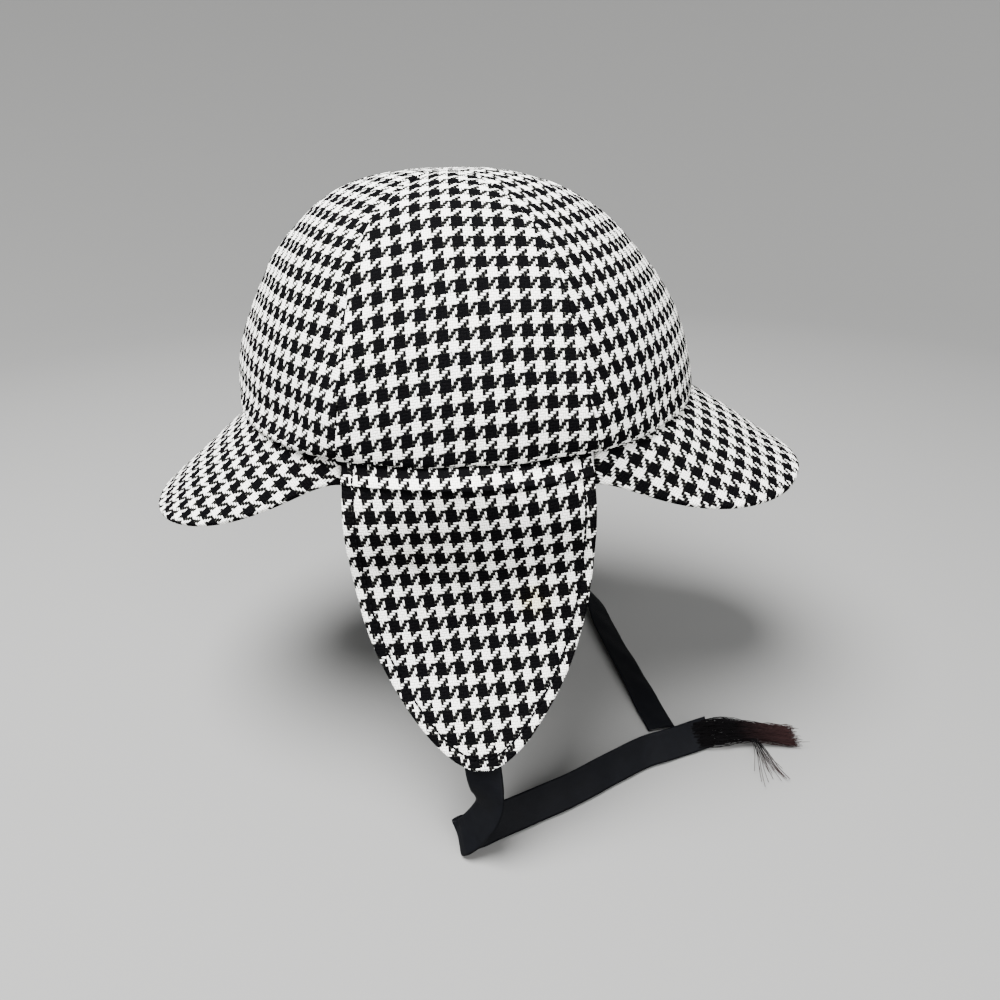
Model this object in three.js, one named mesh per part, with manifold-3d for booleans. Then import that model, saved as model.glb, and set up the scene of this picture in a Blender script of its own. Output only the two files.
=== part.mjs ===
// A deerstalker hat: a six-panel cloth crown, a peak in front and one behind, two ear flaps that hang
// down, and a ribbon tie on each flap. One of the two ribbons has a frayed end.
// Millimetres. +Z is up, the front peak points to -Y and the wearer's left ear is at +X.
// The origin is the middle of the head opening, on the level where the crown's wall begins to turn under.

import * as THREE from 'three';
import { mergeVertices } from 'three/addons/utils/BufferGeometryUtils.js';
import Module from 'manifold-3d';

const wasm = await Module();
wasm.setup();

// Driving dimensions.
const seamGap = 0.3;
const crown = {
  halfLength: 98.6,
  halfWidth: 90,
  height: 93.5,
  sideRoundness: 3.33,
  topRoundness: 0.8,
  swell: 0.141,
  frontSwell: 0.023,
  backSwell: 0.024,
  squareness: 0.3,
  apexForward: 5.1,
  panels: 6,
  frontFlatness: 0.6,
  earFlatness: 0.5,
  backFlatness: 0.45,
  flatLevel: 0.3,
  fullness: 0.8,
  turnUnder: 3.4,
  cloth: 2.0,
};
const crownLevels = [
  -1, 0, 0.1, 0.17, 0.24, 0.31, 0.38, 0.46, 0.54, 0.62, 0.7, 0.78, 0.86, 0.93, 0.98, 0.9985,
];
// How far the seams beside an ear panel lean towards its middle, in degrees, at five levels of the crown.
const frontSeamLean = [0, 4, 4.8, 1, 5];
const backSeamLean = [0, 3.5, 4.7, -0.4, 2.5];
const rootDrop = 0.5;
const rootInset = 3.4;
const peakCloth = 3.0;
const frontPeak = { reach: 71, endReach: 10.8, taper: 1.63, rootSlope: 58, midSlope: 40, endSlope: 85 };
const backPeak = { reach: 72.5, endReach: 15.4, taper: 1.49, rootSlope: 18, midSlope: 33, endSlope: 92 };
const peakBend = 12;
const peakEndGap = 0.35;
const flapCloth = 2.4;
const flapSwing = 1.4;
const ribbon = { width: 15, cloth: 0.9, steps: 84 };
const fray = {
  locks: 9,
  headLength: 4,
  headCloth: 2.2,
  lockRadius: 1.15,
  tipTaper: 0.55,
  tipSpread: 4.2,
  fullness: 1.2,
  unevenness: 4,
  rings: 5,
  sides: 5,
};

// Each row of an ear flap is one level section, from its sewn root to its tip: how far it lies below
// the rim, how far its middle stands out from the crown's side, half its width, and how much of the
// crown's roundness the section keeps.
const flapSections = [
  { drop: 0.5, out: -3.4, half: 46.4, round: 1.0 },
  { drop: 0.8, out: 2.4, half: 47.2, round: 1.0 },
  { drop: 2.8, out: 5.4, half: 47.4, round: 1.0 },
  { drop: 8.4, out: 7.5, half: 47.6, round: 0.8 },
  { drop: 21, out: 7.6, half: 48, round: 0.44 },
  { drop: 36, out: 5.6, half: 47.7, round: 0.2 },
  { drop: 50, out: 4.8, half: 46.5, round: 0.12 },
  { drop: 64, out: 7.4, half: 44, round: 0.1 },
  { drop: 78, out: 12.2, half: 39.7, round: 0.12 },
  { drop: 91, out: 17.6, half: 33.3, round: 0.15 },
  { drop: 103, out: 23, half: 25.4, round: 0.18 },
  { drop: 112.5, out: 27.6, half: 17.2, round: 0.2 },
  { drop: 118, out: 30.2, half: 10.4, round: 0.2 },
  { drop: 121, out: 31.6, half: 4, round: 0.2 },
];

// The route of each ribbon: points on its middle line, and the direction across it at each point.
const leftRibbonRoute = [
  { x: 113.4, y: 1.2, z: -111, across: [0, -1, 0] },
  { x: 117.6, y: 1.4, z: -120.6, across: [0, -1, 0] },
  { x: 119.4, y: 1.9, z: -127, across: [-0.1, -0.99, 0] },
  { x: 120.7, y: 2.6, z: -134, across: [-0.34, -0.9, 0] },
  { x: 121, y: 2.9, z: -139.5, across: [-0.55, -0.8, 0] },
  { x: 120.8, y: 1.8, z: -146, across: [-0.75, -0.6, 0] },
  { x: 120.2, y: -1.2, z: -152.5, across: [-0.8, -0.55, 0.2] },
  { x: 119.2, y: -5.4, z: -159.4, across: [-0.66, -0.38, 0.64] },
  { x: 118, y: -8.9, z: -163.8, across: [-0.72, -0.2, 0.67] },
  { x: 115.6, y: -10.6, z: -166.4, across: [-0.75, -0.16, 0.64] },
  { x: 113.4, y: -8.2, z: -166.8, across: [-0.74, -0.17, 0.65] },
  { x: 112.6, y: -3.4, z: -166.7, across: [-0.7, -0.2, 0.68] },
  { x: 109.6, y: 4.6, z: -166.2, across: [-0.62, -0.25, 0.74] },
  { x: 103.7, y: 18.1, z: -166, across: [-0.57, -0.27, 0.77] },
  { x: 92.6, y: 42.6, z: -166, across: [-0.57, -0.29, 0.77] },
  { x: 84.3, y: 57.5, z: -166, across: [-0.56, -0.31, 0.77] },
  { x: 74.9, y: 74.7, z: -166.2, across: [-0.58, -0.33, 0.74] },
  { x: 70.8, y: 83.5, z: -166.4, across: [-0.6, -0.32, 0.73] },
  { x: 68.2, y: 92, z: -166.5, across: [-0.63, -0.28, 0.72] },
  { x: 65.3, y: 100.7, z: -166.6, across: [-0.64, -0.28, 0.71] },
  { x: 62.2, y: 109.3, z: -166.7, across: [-0.66, -0.26, 0.7] },
  { x: 59.8, y: 116, z: -166.8, across: [-0.67, -0.24, 0.7] },
];
const rightRibbonRoute = [
  { x: -113.4, y: 1.2, z: -111, across: [0, -1, 0] },
  { x: -117.6, y: 1.2, z: -120.6, across: [0, -1, 0] },
  { x: -120, y: 1.8, z: -131, across: [-0.1, -1, 0.06] },
  { x: -120.4, y: 4.4, z: -143, across: [-0.3, -0.9, 0.3] },
  { x: -118, y: 11, z: -153.6, across: [-0.5, -0.6, 0.6] },
  { x: -112, y: 23, z: -161, across: [-0.5, -0.2, 0.85] },
  { x: -103, y: 39, z: -164, across: [-0.2, 0, 0.98] },
  { x: -91, y: 56, z: -164.4, across: [0, 0, 1] },
  { x: -76, y: 69.5, z: -164.6, across: [0, -0.3, 0.95] },
  { x: -61, y: 75.5, z: -166.2, across: [0, -0.7, 0.7] },
  { x: -47, y: 76.8, z: -168.2, across: [0, -0.92, 0.4] },
  { x: -33, y: 78.6, z: -168.8, across: [0.02, -0.94, 0.34] },
  { x: -18, y: 81, z: -169.2, across: [0.04, -0.95, 0.3] },
  { x: -2, y: 84, z: -169.6, across: [0.06, -0.96, 0.25] },
  { x: 17, y: 87.5, z: -170, across: [0.1, -0.97, 0.18] },
  { x: 35, y: 90.6, z: -170.6, across: [0.14, -0.98, 0.1] },
  { x: 52, y: 94, z: -171.1, across: [0.2, -0.98, 0.04] },
];
const frayTipOffset = { x: 4.6, y: 42, z: -1.6 };

// Cloth colours as the eye reads them from a distance, and the ribbon's black.
const clothFinish = { color: 0x8d8b87, roughness: 0.95, metalness: 0 };
const ribbonFinish = { color: 0x131417, roughness: 0.7, metalness: 0 };
const frayFinish = { color: 0x241a1a, roughness: 0.85, metalness: 0 };

const hat = new THREE.Group();

function addPiece(name, geometry, finish) {
  const piece = new THREE.Mesh(geometry, new THREE.MeshStandardMaterial(finish));
  piece.name = name;
  hat.add(piece);
}

function evenSteps(count, from, to) {
  return Array.from({ length: count + 1 }, (_, index) => from + ((to - from) * index) / count);
}

function smoothRise(value) {
  const share = THREE.MathUtils.clamp(value, 0, 1);
  return share * share * (3 - 2 * share);
}

function solidVolume(points, triangles) {
  let volume = 0;
  for (const [a, b, c] of triangles) {
    const cross = new THREE.Vector3().crossVectors(points[b], points[c]);
    volume += points[a].dot(cross) / 6;
  }
  return volume;
}

// A closed geometry from points and triangles, turned so that its faces look outwards.
function closedGeometry(points, triangles) {
  const faceOut = solidVolume(points, triangles) > 0;
  const geometry = new THREE.BufferGeometry();
  geometry.setAttribute('position', new THREE.Float32BufferAttribute(points.flatMap((p) => p.toArray()), 3));
  geometry.setIndex(triangles.flatMap(([a, b, c]) => (faceOut ? [a, b, c] : [a, c, b])));
  geometry.computeVertexNormals();
  return geometry;
}

function surfaceNormal(surfaceAt, u, v, sense) {
  const step = 1e-3;
  const alongU = surfaceAt(u + step, v).sub(surfaceAt(u - step, v));
  const alongV = surfaceAt(u, v + step).sub(surfaceAt(u, v - step));
  return alongU.cross(alongV).normalize().multiplyScalar(sense);
}

// A sheet of cloth: its outer face follows surfaceAt(u, v), and its inner face lies one cloth thickness
// behind, square to the form given. The sense is 1 where U x V points out of the hat, and -1 where it
// points into it.
function clothSheet(uValues, vValues, surfaceAt, thickness, sense, form = surfaceAt) {
  const columns = uValues.length;
  const rows = vValues.length;
  const outer = [];
  const inner = [];
  for (const v of vValues) {
    for (const u of uValues) {
      const point = surfaceAt(u, v);
      outer.push(point);
      inner.push(point.clone().addScaledVector(surfaceNormal(form, u, v, sense), -thickness));
    }
  }
  const points = [...outer, ...inner];
  const behind = outer.length;
  const triangles = [];
  const addQuad = (a, b, c, d) => triangles.push([a, b, c], [a, c, d]);
  const at = (row, column) => row * columns + column;
  for (let row = 0; row < rows - 1; row += 1) {
    for (let column = 0; column < columns - 1; column += 1) {
      const corners = [at(row, column), at(row, column + 1), at(row + 1, column + 1), at(row + 1, column)];
      addQuad(...corners);
      addQuad(...corners.map((corner) => corner + behind).reverse());
    }
  }
  const border = [];
  for (let column = 0; column < columns - 1; column += 1) border.push(at(0, column));
  for (let row = 0; row < rows - 1; row += 1) border.push(at(row, columns - 1));
  for (let column = columns - 1; column > 0; column -= 1) border.push(at(rows - 1, column));
  for (let row = rows - 1; row > 0; row -= 1) border.push(at(row, 0));
  border.forEach((corner, index) => {
    const next = border[(index + 1) % border.length];
    addQuad(next, corner, corner + behind, next + behind);
  });
  return closedGeometry(points, triangles);
}

// The crown's rim is an oval. Angle 0 is the front and a quarter turn is the wearer's left.
function rimPoint(angle) {
  return new THREE.Vector3(crown.halfWidth * Math.sin(angle), -crown.halfLength * Math.cos(angle), 0);
}

function rimOutward(angle) {
  const x = Math.sin(angle) / crown.halfWidth;
  const y = -Math.cos(angle) / crown.halfLength;
  return new THREE.Vector3(x, y, 0).normalize();
}

// The angle that lies the given share of the way round the rim, measured along the oval from the front.
function rimAngle(share) {
  const steps = 360;
  const lengths = [0];
  for (let index = 1; index <= steps; index += 1) {
    const before = rimPoint((2 * Math.PI * (index - 1)) / steps);
    lengths.push(lengths[index - 1] + before.distanceTo(rimPoint((2 * Math.PI * index) / steps)));
  }
  const wanted = share * lengths[steps];
  const after = Math.max(1, lengths.findIndex((length) => length >= wanted));
  const part = (wanted - lengths[after - 1]) / (lengths[after] - lengths[after - 1]);
  return (2 * Math.PI * (after - 1 + part)) / steps;
}

function signedPower(value, power) {
  return Math.sign(value) * Math.abs(value) ** power;
}

// The crown: level 0 is the rim and level 1 the top. Below 0 the edge turns under, level, into the hat.
// The wall swells out above the rim, and its level sections are slightly squared.
function crownPoint(angle, level) {
  if (level < 0) {
    return rimPoint(angle).addScaledVector(rimOutward(angle), crown.turnUnder * level);
  }
  const turn = (level * Math.PI) / 2;
  const swelling = Math.sin(2 * turn);
  const rise = Math.sin(turn) ** (2 / crown.topRoundness);
  const forward = Math.cos(angle);
  const endSwell = forward > 0 ? crown.frontSwell : crown.backSwell;
  const swell = crown.swell + endSwell * Math.abs(forward);
  const reach = Math.max(Math.cos(turn), 0) ** (2 / crown.sideRoundness) * (1 + swell * swelling);
  const power = 2 / (2 + crown.squareness * swelling);
  const x = crown.halfWidth * reach * signedPower(Math.sin(angle), power);
  const y = -crown.halfLength * reach * signedPower(Math.cos(angle), power);
  return new THREE.Vector3(x, y - crown.apexForward * rise * rise, crown.height * rise);
}

// A smooth line through values at even steps of the level.
function valueAtLevel(values, level) {
  const line = new THREE.SplineCurve(values.map((value, index) => new THREE.Vector2(index, value)));
  return line.getPoint(THREE.MathUtils.clamp(level, 0, 1)).y;
}

// The seams: one in front, one behind, and two on each side that bound the panel over the ear.
// The ear panels are narrower above the rim.
function seamAngle(seam, level) {
  const lean = [
    0,
    valueAtLevel(frontSeamLean, level),
    -valueAtLevel(backSeamLean, level),
    0,
    valueAtLevel(backSeamLean, level),
    -valueAtLevel(frontSeamLean, level),
    0,
  ][seam];
  return rimAngle(seam / crown.panels) + THREE.MathUtils.degToRad(lean);
}

// The panels are round at the rim, flatter between their seams above it, and rounder again at the top.
function panelFlatness(panel, level) {
  const { frontFlatness, earFlatness, backFlatness } = crown;
  const most = [frontFlatness, earFlatness, backFlatness, backFlatness, earFlatness, frontFlatness][panel];
  const near = smoothRise(level / crown.flatLevel);
  return most * near * (1 - 0.3 * smoothRise((level - 0.55) / 0.45));
}

// One panel spans two neighbouring seams, and is a little fuller in its middle. Its edges are cut square
// to the round form, so that neighbours meet along the seam through the whole cloth.
function crownPanel(panel) {
  const panelPoint = (u, level) => {
    const centre = crownPoint(Math.PI, level).add(crownPoint(0, level)).divideScalar(2);
    const radius = crownPoint(seamAngle(panel, level), level).distanceTo(centre);
    const halfGap = seamGap / 2 / Math.max(radius, 1);
    const start = seamAngle(panel, level) + halfGap;
    const end = seamAngle(panel + 1, level) - halfGap;
    const angle = THREE.MathUtils.lerp(start, end, u);
    const lift = crown.fullness * (1 - (2 * u - 1) ** 2) * Math.sin(Math.PI * Math.max(level, 0));
    const chord = crownPoint(start, level).lerp(crownPoint(end, level), u);
    const point = crownPoint(angle, level).lerp(chord, panelFlatness(panel, level));
    return point.addScaledVector(rimOutward(angle), lift);
  };
  const roundPoint = (u, level) => {
    const angle = THREE.MathUtils.lerp(seamAngle(panel, level), seamAngle(panel + 1, level), u);
    return crownPoint(angle, level);
  };
  return clothSheet(evenSteps(10, 0, 1), crownLevels, panelPoint, crown.cloth, 1, roundPoint);
}

const panelNames = ['front_left', 'left', 'back_left', 'back_right', 'right', 'front_right'];
panelNames.forEach((name, index) => {
  addPiece(`crown_panel_${name}`, crownPanel(index), clothFinish);
});

// How far out and how far down a peak's section runs, from its root to the given length.
function slopeRun(length, rootSlope, slope) {
  const steps = 24;
  const run = { out: 0, down: 0 };
  for (let index = 0; index < steps; index += 1) {
    const along = (length * (index + 0.5)) / steps;
    const degrees = THREE.MathUtils.lerp(rootSlope, slope, smoothRise(along / peakBend));
    const angle = THREE.MathUtils.degToRad(degrees);
    run.out += (Math.cos(angle) * length) / steps;
    run.down += (Math.sin(angle) * length) / steps;
  }
  return run;
}

// A peak runs between the two seams beside the ear flaps, and is deepest in its middle. Its ends point
// sideways, so that they lie along the flaps' edges.
function peakSheet(peak, middleAngle) {
  const halfSpan = rimAngle(1 / crown.panels);
  const peakPoint = (u, v) => {
    const side = THREE.MathUtils.lerp(-1, 1, u);
    const angle = middleAngle + side * (halfSpan - THREE.MathUtils.degToRad(peakEndGap));
    const depth = Math.max(Math.cos((Math.PI / 2) * Math.min(Math.abs(side), 1)), 0) ** peak.taper;
    const reach = peak.endReach + (peak.reach - peak.endReach) * depth;
    const slope = THREE.MathUtils.lerp(peak.midSlope, peak.endSlope, side * side);
    const run = slopeRun(Math.max(v, 0) * reach, peak.rootSlope, slope);
    const root = rootInset * Math.min(v, 0);
    const sideways = new THREE.Vector3(Math.sign(Math.sin(angle)), 0, 0);
    const outward = rimOutward(angle).lerp(sideways, side ** 4).normalize();
    const point = rimPoint(angle).addScaledVector(outward, run.out + root);
    point.z = -rootDrop - run.down;
    return point;
  };
  const rows = [-1, 0, 0.08, 0.18, 0.36, 0.58, 0.8, 1];
  return clothSheet(evenSteps(34, 0, 1), rows, peakPoint, peakCloth, -1);
}

addPiece('front_peak', peakSheet(frontPeak, 0), clothFinish);
addPiece('back_peak', peakSheet(backPeak, Math.PI), clothFinish);

// An ear flap: smooth lines through its level sections, on the wearer's left.
const flapLinePoints = flapSections.map((row) => new THREE.Vector3(row.out, row.half, -row.drop));
const flapLine = new THREE.CatmullRomCurve3(flapLinePoints);
const flapRoundnessPoints = flapSections.map((row, index) => new THREE.Vector2(index, row.round));
const flapRoundness = new THREE.SplineCurve(flapRoundnessPoints);

function flapPoint(u, v) {
  const row = flapLine.getPoint(THREE.MathUtils.clamp(v, 0, 1));
  const keep = flapRoundness.getPoint(THREE.MathUtils.clamp(v, 0, 1)).y;
  const y = row.y * u;
  const hollow = crown.halfWidth * (1 - Math.sqrt(1 - (y / crown.halfLength) ** 2));
  const swing = flapSwing * smoothRise(v);
  return new THREE.Vector3(crown.halfWidth + row.x - keep * hollow, y + swing, row.z);
}

function earFlap() {
  return clothSheet(evenSteps(14, -1, 1), evenSteps(22, 0, 1), flapPoint, flapCloth, -1);
}

function mirrored(geometry) {
  const copy = geometry.clone().scale(-1, 1, 1);
  const order = copy.getIndex().array;
  for (let index = 0; index < order.length; index += 3) {
    [order[index + 1], order[index + 2]] = [order[index + 2], order[index + 1]];
  }
  copy.computeVertexNormals();
  return copy;
}

addPiece('left_ear_flap', earFlap(), clothFinish);
addPiece('right_ear_flap', mirrored(earFlap()), clothFinish);

// A closed tube of sections that all have the same number of corners, with flat ends.
function sectionTube(sections) {
  const corners = sections[0].length;
  const triangles = [];
  for (let index = 0; index < sections.length - 1; index += 1) {
    for (let corner = 0; corner < corners; corner += 1) {
      const next = (corner + 1) % corners;
      const here = index * corners;
      const ahead = here + corners;
      triangles.push([here + corner, here + next, ahead + next]);
      triangles.push([here + corner, ahead + next, ahead + corner]);
    }
  }
  const last = (sections.length - 1) * corners;
  for (let corner = 1; corner < corners - 1; corner += 1) {
    triangles.push([0, corner + 1, corner], [last, last + corner, last + corner + 1]);
  }
  return closedGeometry(sections.flat(), triangles);
}

// Where a ribbon runs at each step: its middle, the way across it and the way out of its face.
function ribbonFrames(route) {
  const middle = new THREE.CatmullRomCurve3(route.map((row) => new THREE.Vector3(row.x, row.y, row.z)));
  const acrossLine = new THREE.CatmullRomCurve3(route.map((row) => new THREE.Vector3(...row.across)));
  return evenSteps(ribbon.steps, 0, 1).map((share) => {
    const along = middle.getTangent(share);
    const across = acrossLine.getPoint(share);
    across.addScaledVector(along, -across.dot(along)).normalize();
    return { centre: middle.getPoint(share), along, across, face: along.clone().cross(across) };
  });
}

function flatSection(frame, width, cloth) {
  const corners = [[-1, -1], [1, -1], [1, 1], [-1, 1]];
  return corners.map(([side, layer]) => {
    const corner = frame.centre.clone().addScaledVector(frame.across, (side * width) / 2);
    return corner.addScaledVector(frame.face, (layer * cloth) / 2);
  });
}

function ribbonTie(route) {
  return sectionTube(ribbonFrames(route).map((frame) => flatSection(frame, ribbon.width, ribbon.cloth)));
}

addPiece('left_ribbon_tie', ribbonTie(leftRibbonRoute), ribbonFinish);
addPiece('right_ribbon_tie', ribbonTie(rightRibbonRoute), ribbonFinish);

function solidOf(geometry) {
  const bare = geometry.clone();
  bare.deleteAttribute('normal');
  const merged = mergeVertices(bare, 1e-4);
  const vertProperties = new Float32Array(merged.getAttribute('position').array);
  const triVerts = new Uint32Array(merged.getIndex().array);
  return new wasm.Manifold(new wasm.Mesh({ numProp: 3, vertProperties, triVerts }));
}

function geometryOf(solid) {
  const mesh = solid.getMesh();
  const geometry = new THREE.BufferGeometry();
  geometry.setAttribute('position', new THREE.BufferAttribute(new Float32Array(mesh.vertProperties), 3));
  geometry.setIndex(new THREE.BufferAttribute(new Uint32Array(mesh.triVerts), 1));
  geometry.computeVertexNormals();
  return geometry;
}

// The frayed end: tapering locks of thread that spread a little, fused to the last woven millimetres.
function frayedEnd(route) {
  const end = ribbonFrames(route)[ribbon.steps];
  const start = end.centre.clone().addScaledVector(end.along, seamGap);
  const headEnd = start.clone().addScaledVector(end.along, fray.headLength);
  const headFrames = [start, headEnd].map((centre) => ({ ...end, centre }));
  const headSections = headFrames.map((frame) => flatSection(frame, ribbon.width, fray.headCloth));
  let solid = solidOf(sectionTube(headSections));
  const tipOffset = new THREE.Vector3(frayTipOffset.x, frayTipOffset.y, frayTipOffset.z);
  const tipMiddle = end.centre.clone().add(tipOffset);
  for (let lock = 0; lock < fray.locks; lock += 1) {
    const side = (2 * lock) / (fray.locks - 1) - 1;
    const uneven = fray.unevenness * Math.sin(lock * 2.4);
    const root = start.clone().addScaledVector(end.along, fray.headLength / 2);
    root.addScaledVector(end.across, side * (ribbon.width / 2 - fray.lockRadius));
    const tip = tipMiddle.clone().addScaledVector(end.across, side * fray.tipSpread);
    tip.addScaledVector(end.along, uneven);
    const bulge = root.clone().lerp(tip, 0.45).addScaledVector(end.across, side * fray.fullness);
    const line = new THREE.CatmullRomCurve3([root, bulge, tip]);
    const rings = evenSteps(fray.rings, 0, 1).map((share) => {
      const along = line.getTangent(share);
      const across = end.across.clone().addScaledVector(along, -end.across.dot(along)).normalize();
      const face = along.clone().cross(across);
      const radius = fray.lockRadius * (1 - fray.tipTaper * share);
      return Array.from({ length: fray.sides }, (_, corner) => {
        const turn = (2 * Math.PI * corner) / fray.sides;
        const point = line.getPoint(share).addScaledVector(across, radius * Math.cos(turn));
        return point.addScaledVector(face, radius * Math.sin(turn));
      });
    });
    solid = solid.add(solidOf(sectionTube(rings)));
  }
  return geometryOf(solid);
}

addPiece('left_ribbon_fray', frayedEnd(leftRibbonRoute), frayFinish);

export default hat;
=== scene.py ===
# %% [markdown]
# # A houndstooth deerstalker
# The hat is six wool panels sewn into a crown, a peak in front and one behind, two ear flaps that hang
# down, and a black ribbon on the tip of each flap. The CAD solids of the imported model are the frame: they
# say where everything is. Each cell below dresses one kind of piece, in metres, in that same frame.

# %% Load the frame
import math
import random

import bpy
import numpy as np
from mathutils import Matrix, Vector


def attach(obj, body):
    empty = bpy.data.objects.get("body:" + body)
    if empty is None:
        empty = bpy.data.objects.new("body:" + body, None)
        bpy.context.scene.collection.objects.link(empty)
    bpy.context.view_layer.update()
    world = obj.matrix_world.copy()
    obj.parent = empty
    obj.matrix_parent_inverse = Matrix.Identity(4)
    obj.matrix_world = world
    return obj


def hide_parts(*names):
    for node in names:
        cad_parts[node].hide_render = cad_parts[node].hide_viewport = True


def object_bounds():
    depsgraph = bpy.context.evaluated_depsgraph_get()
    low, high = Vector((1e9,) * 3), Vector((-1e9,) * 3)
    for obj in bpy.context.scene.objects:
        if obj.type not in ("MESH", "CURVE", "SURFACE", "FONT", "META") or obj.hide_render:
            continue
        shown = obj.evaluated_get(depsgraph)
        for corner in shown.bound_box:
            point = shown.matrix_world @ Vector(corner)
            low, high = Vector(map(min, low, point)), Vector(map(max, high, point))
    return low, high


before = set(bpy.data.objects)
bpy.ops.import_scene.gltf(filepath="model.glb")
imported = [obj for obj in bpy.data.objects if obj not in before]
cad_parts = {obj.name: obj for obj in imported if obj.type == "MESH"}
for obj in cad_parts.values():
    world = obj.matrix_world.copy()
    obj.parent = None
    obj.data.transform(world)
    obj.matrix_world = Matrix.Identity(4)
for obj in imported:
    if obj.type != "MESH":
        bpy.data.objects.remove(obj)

cad_box = [list(corner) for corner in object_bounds()]
print("CAD nodes:", sorted(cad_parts))
print("CAD box:", cad_box)

# %% [markdown]
# ## Camera, floor and light
# The camera comes first, because every later choice is judged through it. It looks down on the hat from
# the wearer's left. Its three axes are written out as vectors, which is the clearest way to hold a camera
# that is also rolled by about a degree. The floor is a large pale disc whose rim curves up into a wall, as
# a studio backdrop does, so no horizon shows behind the hat: the disc's border is extruded ring by ring.
# The light is a wide soft panel overhead with a weaker one on the camera's side.

# %% Camera, floor and light
CAMERA_PLACE = Vector((0.3389, 0.0041, 0.1154))
CAMERA_RIGHT = Vector((0.0402, 0.9990, -0.0192)).normalized()
CAMERA_BACK = Vector((0.8860, -0.0267, 0.4629)).normalized()
LENS = 27.04
FLOOR_RADIUS = 0.9
WALL_CURVE = 0.8
WALL_HEIGHT = 1.6
WALL_STEPS = 10
FLOOR_SIDES = 96
FLOOR_CLEARANCE = 0.0002

camera_up = CAMERA_BACK.cross(CAMERA_RIGHT).normalized()
camera_right = camera_up.cross(CAMERA_BACK)
camera_data = bpy.data.cameras.new("camera")
camera_data.lens = LENS
camera_data.clip_start = 0.01
camera = bpy.data.objects.new("camera", camera_data)
bpy.context.scene.collection.objects.link(camera)
camera.matrix_world = (
    Matrix.Translation(CAMERA_PLACE) @ Matrix((camera_right, camera_up, CAMERA_BACK)).transposed().to_4x4()
)
bpy.context.scene.camera = camera

floor_level = cad_box[0][2] - FLOOR_CLEARANCE
bpy.ops.object.select_all(action="DESELECT")
bpy.ops.mesh.primitive_circle_add(
    vertices=FLOOR_SIDES, radius=FLOOR_RADIUS, fill_type="NGON", location=(0, 0, floor_level)
)
floor = bpy.context.object
floor.name = "floor"
bpy.ops.object.mode_set(mode="EDIT")
bpy.ops.mesh.select_all(action="SELECT")
ring_radius, ring_level = FLOOR_RADIUS, 0.0
for step in range(1, WALL_STEPS + 2):
    turn = min(step / WALL_STEPS, 1) * math.pi / 2
    radius = FLOOR_RADIUS + WALL_CURVE * math.sin(turn)
    level = WALL_CURVE * (1 - math.cos(turn)) if step <= WALL_STEPS else WALL_HEIGHT
    bpy.ops.mesh.extrude_edges_move(TRANSFORM_OT_translate={"value": (0, 0, level - ring_level)})
    wider = radius / ring_radius
    bpy.ops.transform.resize(value=(wider, wider, 1), center_override=(0, 0, floor_level))
    ring_radius, ring_level = radius, level
bpy.ops.object.mode_set(mode="OBJECT")
bpy.ops.object.shade_smooth()


def soft_panel(name, place, aim, size, power):
    """An area light at a place, turned to a point."""
    data = bpy.data.lights.new(name, "AREA")
    data.shape = "DISK"
    data.size = size
    data.energy = power
    light = bpy.data.objects.new(name, data)
    light.location = place
    light.rotation_euler = (Vector(aim) - Vector(place)).to_track_quat("-Z", "Y").to_euler()
    bpy.context.scene.collection.objects.link(light)


soft_panel("overhead_light", place=(0.30, -0.35, 1.15), aim=(0.0, 0.0, 0.0), size=0.9, power=125.0)
soft_panel("side_light", place=(1.15, 0.45, 0.60), aim=(0.0, 0.0, -0.05), size=1.0, power=32.0)
world = bpy.data.worlds.new("studio")
world.use_nodes = True
background = world.node_tree.nodes["Background"]
background.inputs["Color"].default_value = (0.80, 0.82, 0.84, 1)
background.inputs["Strength"].default_value = 0.8
bpy.context.scene.world = world
print("floor at", round(floor_level, 4))

# %% [markdown]
# ## From a flat grid to a curved cloth
# Every cloth piece starts as Blender's grid primitive, which stands for the flat cut cloth. Its points are
# then moved onto the worn shape, row by row and column by column. A second grid behind it becomes the
# inner face, and the two are joined and merged along their shared border, so the piece is a closed cloth
# with a rounded edge. The UV map is kept in metres of cloth, so that one woven pattern fits every piece.

# %% Cloth helpers
GRAIN = "cloth_grain"


def unit(vectors):
    """The same directions, each one long."""
    return vectors / np.maximum(np.linalg.norm(vectors, axis=-1, keepdims=True), 1e-15)


def smooth_rise(share):
    """A step that starts and ends gently, from 0 to 1."""
    share = np.clip(share, 0.0, 1.0)
    return share * share * (3.0 - 2.0 * share)


def smooth_line(points, count):
    """A smooth curve through given points, evenly stepped between each two of them."""
    points = np.asarray(points, float)
    padded = np.vstack([2 * points[0] - points[1], points, 2 * points[-1] - points[-2]])
    share = np.linspace(0, len(points) - 1, count)
    start = np.minimum(share.astype(int), len(points) - 2)
    part = (share - start)[:, None]
    before, here, there, after = (padded[start + step] for step in range(4))
    knots = [np.sqrt(np.linalg.norm(b - a, axis=1))[:, None] + 1e-9 for a, b in
             ((before, here), (here, there), (there, after))]
    pace = (there - here) / knots[1]
    leave = (here - before) / knots[0] - (there - before) / (knots[0] + knots[1]) + pace
    arrive = pace - (after - here) / (knots[1] + knots[2]) + (after - there) / knots[2]
    leave, arrive = leave * knots[1], arrive * knots[1]
    square, cube = part ** 2, part ** 3
    return (here + leave * part + (3 * (there - here) - 2 * leave - arrive) * square
            + (2 * (here - there) + leave + arrive) * cube)


def lengths_along(points, axis):
    """How far along its row or column each point of a lattice lies, in metres of cloth."""
    steps = np.linalg.norm(np.diff(points, axis=axis), axis=-1)
    zero = np.zeros_like(np.take(steps, [0], axis=axis))
    return np.concatenate([zero, np.cumsum(steps, axis=axis)], axis=axis)


def lattice_normals(points):
    """The direction out of the cloth's face at each point of a lattice."""
    across = np.gradient(points, axis=1)
    along = np.gradient(points, axis=0)
    return unit(np.cross(across, along))


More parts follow.
